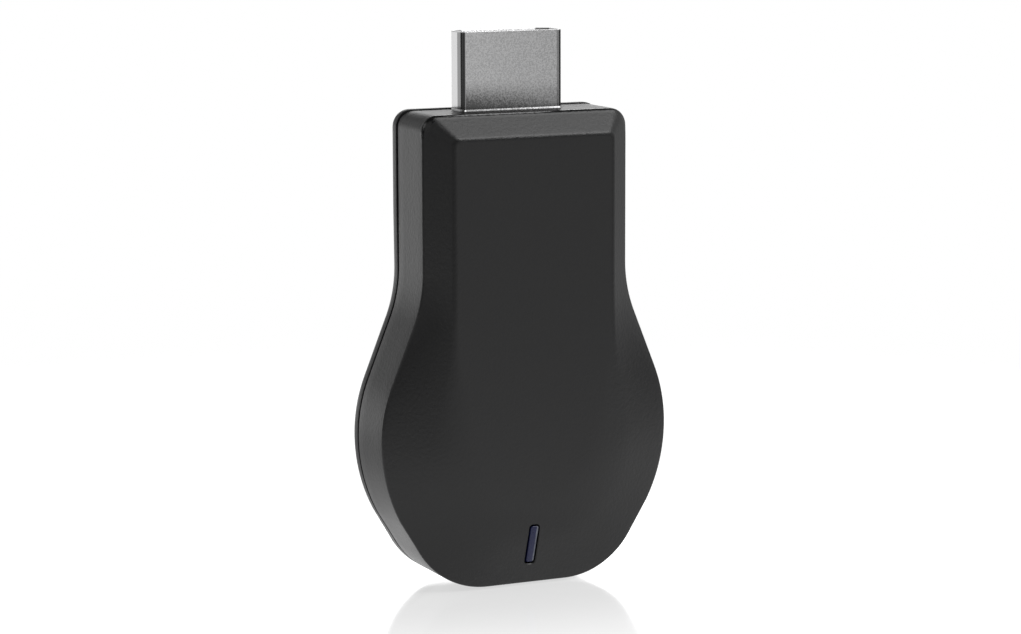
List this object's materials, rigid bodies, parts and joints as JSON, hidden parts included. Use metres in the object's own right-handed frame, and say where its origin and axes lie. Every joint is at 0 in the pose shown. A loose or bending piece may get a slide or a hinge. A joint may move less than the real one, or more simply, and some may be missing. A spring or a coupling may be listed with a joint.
{
  "type": "wireless display dongle",
  "caption": "Slim black dongle with a round lower end, a raised front panel, an indicator slot, a metal display plug, a power socket in its foot and a side button.",
  "frame": {"origin": "middle of the flat foot, halfway through the thickness", "axes": "+Z from the foot up to the plug, +Y from the front panel to the rear face, +X across"},
  "size_m": [0.0401, 0.013, 0.0703],
  "materials": {
    "shell_plastic": "moulded, fine matt texture",
    "button_plastic": "moulded, fine matt texture",
    "lens_plastic": "smooth, dark blue tint",
    "plug_metal": "nickel plated, fine grain",
    "tinned_metal": "tinned, satin",
    "contact_gold": "thin gold plating",
    "insulator_plastic": "moulded, satin",
    "switch_plastic": "moulded, satin",
    "plunger_plastic": "moulded, satin",
    "board_laminate": "green solder resist",
    "chip_plastic": "moulded, fine matt texture",
    "pad_silicone": "soft, matt",
    "sink_aluminium": "extruded, satin",
    "inductor_ferrite": "sintered, matt",
    "capacitor_ceramic": "sintered, satin",
    "resistor_ceramic": "coated, satin",
    "light_resin": "clear resin over a white base"
  },
  "bodies": {
    "dongle": {"front_shell": "shell_plastic", "rear_shell": "shell_plastic", "indicator_lens": "lens_plastic", "switch_body": "switch_plastic", "switch_cover": "tinned_metal", "circuit_board": "board_laminate", "plug_shell": "plug_metal", "plug_insulator": "insulator_plastic", "plug_contacts_front": "contact_gold", "plug_contacts_rear": "contact_gold", "power_socket_shell": "tinned_metal", "power_socket_tongue": "insulator_plastic", "power_socket_contacts": "contact_gold", "main_processor": "chip_plastic", "processor_leads": "tinned_metal", "thermal_pad": "pad_silicone", "heat_sink": "sink_aluminium", "flash_memory": "chip_plastic", "flash_leads": "tinned_metal", "wireless_module_board": "board_laminate", "wireless_module_can": "tinned_metal", "antenna": "contact_gold", "crystal": "tinned_metal", "regulator": "chip_plastic", "regulator_leads": "tinned_metal", "power_inductor": "inductor_ferrite", "capacitors": "capacitor_ceramic", "resistors": "resistor_ceramic", "status_light": "light_resin"},
    "button": {"mode_button": "button_plastic"},
    "plunger": {"switch_plunger": "plunger_plastic"}
  },
  "joints": [
    {"name": "button_press", "type": "slide", "parent": "dongle", "child": "button", "axis": [-1, 0, 0], "range_m": [0, 0.0003], "stiffness_N_per_m": 1500},
    {"name": "plunger_press", "type": "slide", "parent": "dongle", "child": "plunger", "axis": [-1, 0, 0], "range_m": [0, 0.0003]}
  ],
  "couplings": [
    {"joint": "plunger_press", "follows": "button_press", "ratio": 1}
  ]
}
